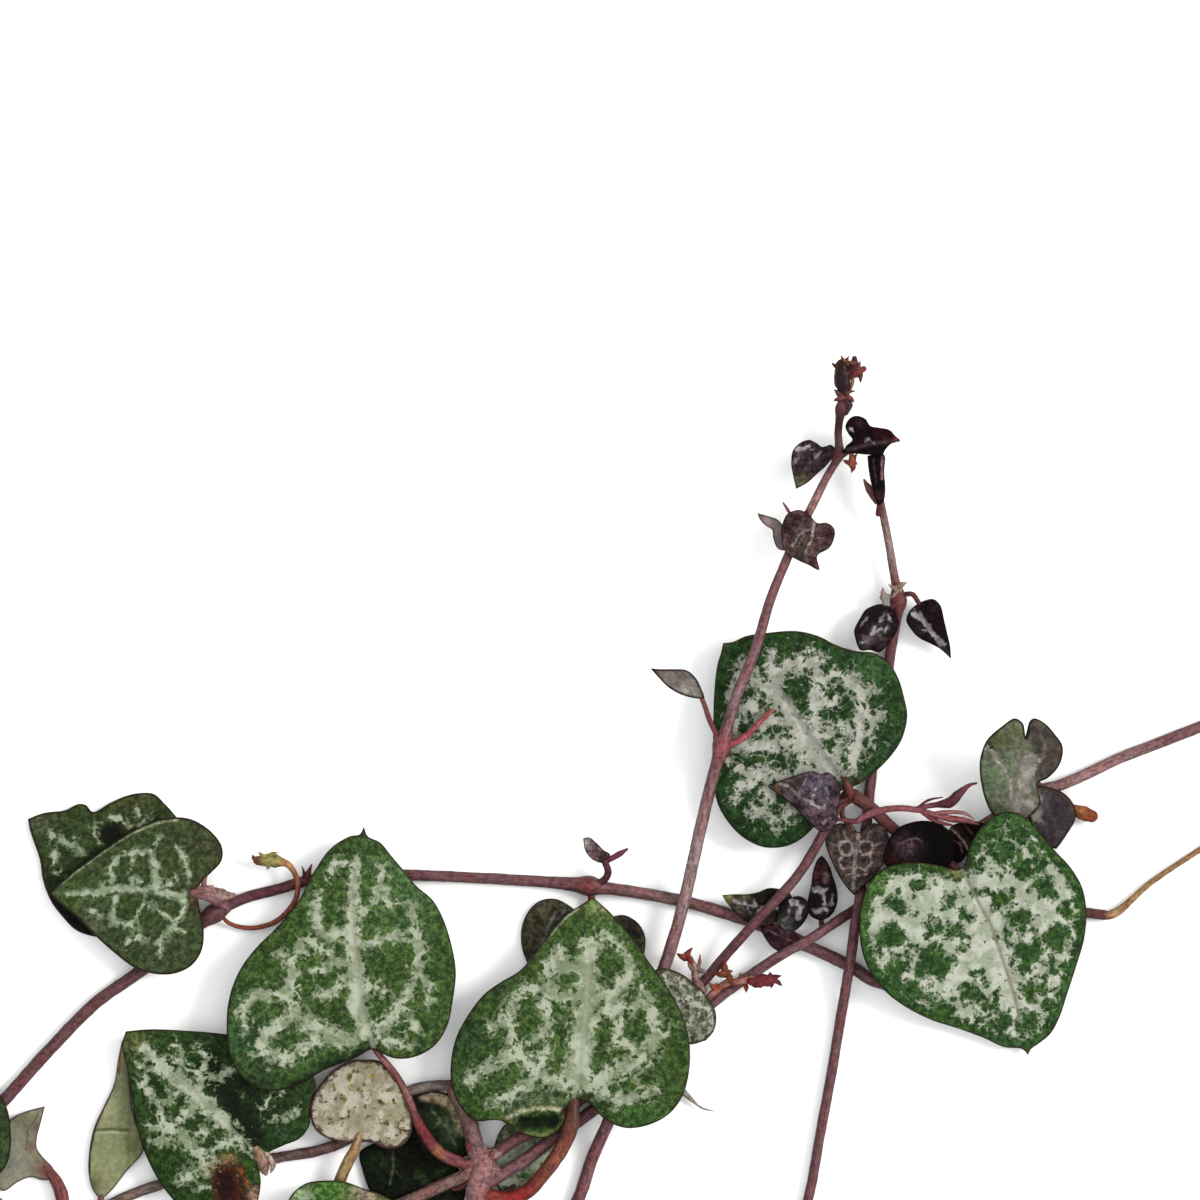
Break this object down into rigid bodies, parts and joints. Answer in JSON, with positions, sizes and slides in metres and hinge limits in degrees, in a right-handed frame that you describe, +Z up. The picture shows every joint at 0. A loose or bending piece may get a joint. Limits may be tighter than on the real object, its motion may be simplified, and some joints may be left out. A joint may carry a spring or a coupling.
{
  "type": "string of hearts",
  "caption": "Cut piece of string of hearts, a trailing succulent vine with marbled heart-shaped leaves in facing pairs, lying flat on a surface.",
  "frame": {"origin": "centre of the underside of the part's box, on the surface that it lies on", "axes": "+Z up out of the surface; +X along the longest side of the spread, from the side where the stem turns round to the side with the dry stem end; +Y from the cut end of the main stem towards the growing tips"},
  "size_m": [0.1306, 0.0936, 0.007],
  "materials": {
    "leaf_green": "satin, waxy succulent leaf with grey-green marbling",
    "leaf_dull": "satin, older olive leaf with faint marbling",
    "leaf_pale": "matte, pale speckled leaf seen from below",
    "leaf_dark": "satin, young purple-black leaf with silver patches",
    "stem_mauve": "satin, smooth mauve stem",
    "stalk_red": "satin, thin red stalk",
    "dried_tan": "matte, dried stem or flower"
  },
  "bodies": {
    "root": {"main_stem": "stem_mauve", "runner_left_outer": "stem_mauve", "runner_left_turn": "stem_mauve", "runner_left": "stem_mauve", "runner_middle": "stem_mauve", "runner_low": "stem_mauve", "runner_low_link": "stem_mauve", "runner_long": "stem_mauve", "runner_outer_right": "stem_mauve", "runner_inner_right": "stem_mauve", "runner_right_foot": "stem_mauve", "runner_right": "stem_mauve", "leaf_left_large": "leaf_green", "leaf_lower_left": "leaf_green", "leaf_centre_large": "leaf_green", "leaf_upper_large": "leaf_green", "leaf_right_large": "leaf_green", "leaf_pair_upper": "leaf_dull", "leaf_pair_lower": "leaf_dull", "leaf_pale_narrow": "leaf_pale", "leaf_speckled_round": "leaf_pale", "leaf_bottom_green": "leaf_green", "leaf_bottom_dark": "leaf_dark", "leaf_tan_rim": "leaf_dull", "leaf_under_runners": "leaf_green", "leaf_dark_hidden": "leaf_dark", "leaf_speckled_right": "leaf_pale", "leaf_edge_left_dark": "leaf_dull", "leaf_edge_left_pink": "leaf_pale", "leaf_pale_raised": "leaf_pale", "leaf_mauve_right": "leaf_dark", "leaf_purple": "leaf_dark", "leaf_netted": "leaf_dark", "leaf_black": "leaf_dark", "leaf_leaflet": "leaf_dark", "leaf_centre_dark": "leaf_dark", "leaf_silver_low": "leaf_dark", "leaf_silver_high": "leaf_dark", "leaf_tip_left": "leaf_dark", "leaf_tip_right": "leaf_dark", "leaf_upper_middle": "leaf_dark", "leaf_upper_edge": "leaf_dark", "leaf_folded": "leaf_dark", "leaf_knuckle_left": "leaf_dark", "leaf_knuckle_right": "leaf_dark", "leaf_edge_on": "leaf_dark", "shoot_centre": "stem_mauve", "tip_bud": "stalk_red", "tip_flower": "dried_tan", "bract": "stalk_red", "flower_stalk": "stalk_red", "tendril": "dried_tan", "sprout": "stem_mauve", "dried_flowers": "stalk_red", "dried_florets": "dried_tan", "broken_stalk": "stalk_red", "dry_stub": "dried_tan", "dry_stem": "dried_tan", "side_bud": "dried_tan"}
  },
  "joints": []
}
